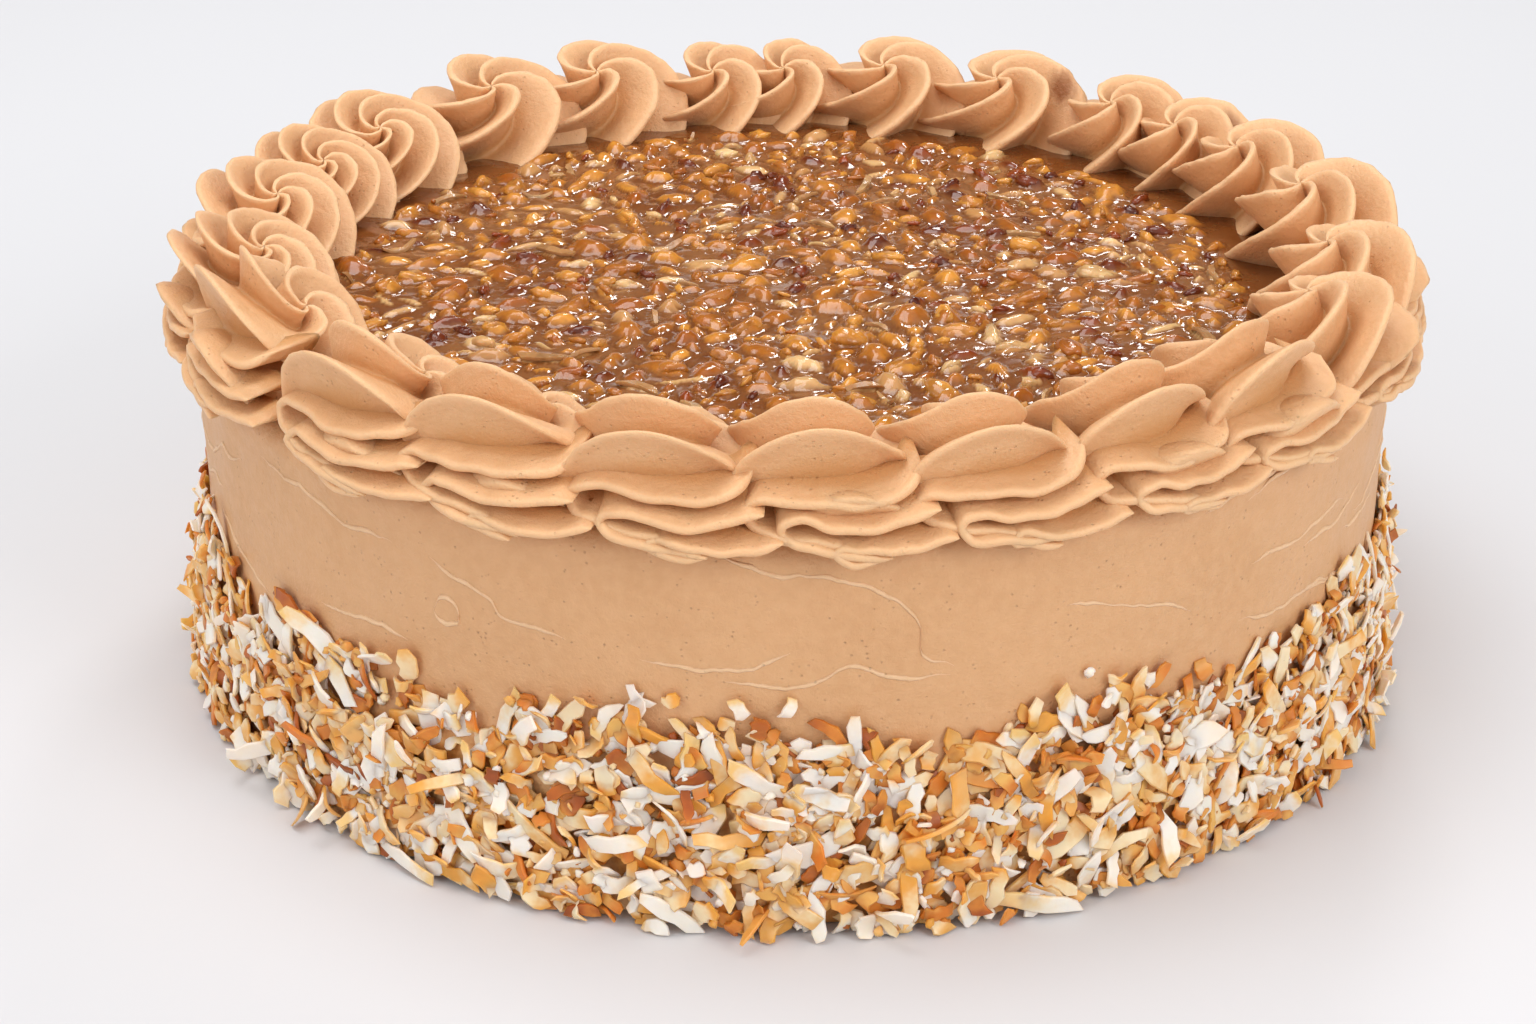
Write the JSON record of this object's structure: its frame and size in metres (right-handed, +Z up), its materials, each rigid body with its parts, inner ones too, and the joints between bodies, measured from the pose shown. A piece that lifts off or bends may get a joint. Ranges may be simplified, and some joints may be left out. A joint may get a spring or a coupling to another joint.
{
  "type": "german chocolate cake",
  "caption": "Whole round layer cake with buttercream sides, a toasted coconut band, nut custard on top and a piped swirl border.",
  "frame": {"origin": "centre of the underside of the cake, on the surface that it stands on", "axes": "+Z up through the middle of the cake; the front in the picture faces -Y, and +X is to the right of that view"},
  "size_m": [0.233, 0.2331, 0.088],
  "materials": {
    "buttercream_side": "smooth spread buttercream, with toasted and plain shredded coconut round the foot",
    "nut_custard": "wet caramel-coloured custard with chopped pecans and coconut",
    "buttercream_swirls": "piped buttercream, satin"
  },
  "bodies": {
    "root": {"cake": "buttercream_side", "topping": "nut_custard", "swirl_01": "buttercream_swirls", "swirl_02": "buttercream_swirls", "swirl_03": "buttercream_swirls", "swirl_04": "buttercream_swirls", "swirl_05": "buttercream_swirls", "swirl_06": "buttercream_swirls", "swirl_07": "buttercream_swirls", "swirl_08": "buttercream_swirls", "swirl_09": "buttercream_swirls", "swirl_10": "buttercream_swirls", "swirl_11": "buttercream_swirls", "swirl_12": "buttercream_swirls", "swirl_13": "buttercream_swirls", "swirl_14": "buttercream_swirls", "swirl_15": "buttercream_swirls", "swirl_16": "buttercream_swirls", "swirl_17": "buttercream_swirls", "swirl_18": "buttercream_swirls", "swirl_19": "buttercream_swirls", "swirl_20": "buttercream_swirls", "swirl_21": "buttercream_swirls", "swirl_22": "buttercream_swirls", "swirl_23": "buttercream_swirls", "swirl_24": "buttercream_swirls"}
  },
  "joints": []
}
